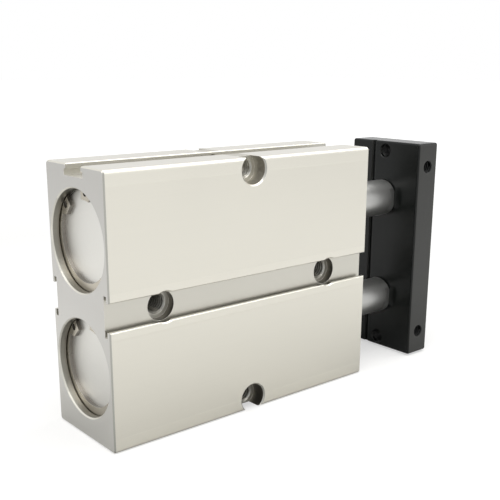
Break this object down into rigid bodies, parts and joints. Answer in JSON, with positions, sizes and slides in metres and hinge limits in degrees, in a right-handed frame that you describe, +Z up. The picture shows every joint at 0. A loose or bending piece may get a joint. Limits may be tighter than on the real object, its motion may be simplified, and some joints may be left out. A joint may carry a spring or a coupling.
{
  "type": "twin rod pneumatic cylinder",
  "caption": "Pneumatic cylinder with two parallel bores in one slotted aluminium block and two chromed rods that push a black end plate.",
  "frame": {"origin": "below the middle of the whole object, on the surface that the narrow side of the body stands on", "axes": "+X out along the rods, +Y to the back wide face of the body, +Z up"},
  "size_m": [0.1692, 0.0396, 0.098],
  "materials": {
    "body_aluminium": "hard anodised aluminium, warm silver, satin",
    "cover_aluminium": "turned bright aluminium",
    "guide_aluminium": "turned aluminium",
    "piston_aluminium": "turned aluminium",
    "plate_black": "black anodised aluminium, satin",
    "rod_chrome": "hard chromed and ground steel",
    "ring_steel": "phosphated spring steel",
    "screw_steel": "blackened steel",
    "seal_rubber": "black nitrile rubber",
    "bumper_rubber": "brown polyurethane",
    "bush_bronze": "sintered bronze",
    "wear_plastic": "natural acetal",
    "magnet_dark": "bonded ferrite magnet"
  },
  "bodies": {
    "housing": {"body": "body_aluminium", "lower_rear_cover": "cover_aluminium", "lower_rear_cover_o_ring": "seal_rubber", "lower_rear_snap_ring": "ring_steel", "lower_rear_bumper": "bumper_rubber", "lower_rod_guide": "guide_aluminium", "lower_rod_guide_o_ring": "seal_rubber", "lower_front_snap_ring": "ring_steel", "lower_front_bumper": "bumper_rubber", "lower_guide_bush": "bush_bronze", "lower_rod_seal": "seal_rubber", "upper_rear_cover": "cover_aluminium", "upper_rear_cover_o_ring": "seal_rubber", "upper_rear_snap_ring": "ring_steel", "upper_rear_bumper": "bumper_rubber", "upper_rod_guide": "guide_aluminium", "upper_rod_guide_o_ring": "seal_rubber", "upper_front_snap_ring": "ring_steel", "upper_front_bumper": "bumper_rubber", "upper_guide_bush": "bush_bronze", "upper_rod_seal": "seal_rubber"},
    "carriage": {"end_plate": "plate_black", "lower_piston_rod": "rod_chrome", "lower_spigot_o_ring": "seal_rubber", "lower_piston_front": "piston_aluminium", "lower_piston_rear": "piston_aluminium", "lower_front_piston_seal": "seal_rubber", "lower_rear_piston_seal": "seal_rubber", "lower_piston_magnet": "magnet_dark", "lower_piston_wear_ring": "wear_plastic", "lower_piston_screw": "screw_steel", "lower_plate_screw": "screw_steel", "upper_piston_rod": "rod_chrome", "upper_spigot_o_ring": "seal_rubber", "upper_piston_front": "piston_aluminium", "upper_piston_rear": "piston_aluminium", "upper_front_piston_seal": "seal_rubber", "upper_rear_piston_seal": "seal_rubber", "upper_piston_magnet": "magnet_dark", "upper_piston_wear_ring": "wear_plastic", "upper_piston_screw": "screw_steel", "upper_plate_screw": "screw_steel"}
  },
  "joints": [
    {"name": "rod_slide", "type": "slide", "parent": "housing", "child": "carriage", "axis": [1, 0, 0], "range_m": [-0.02, 0.03]}
  ]
}
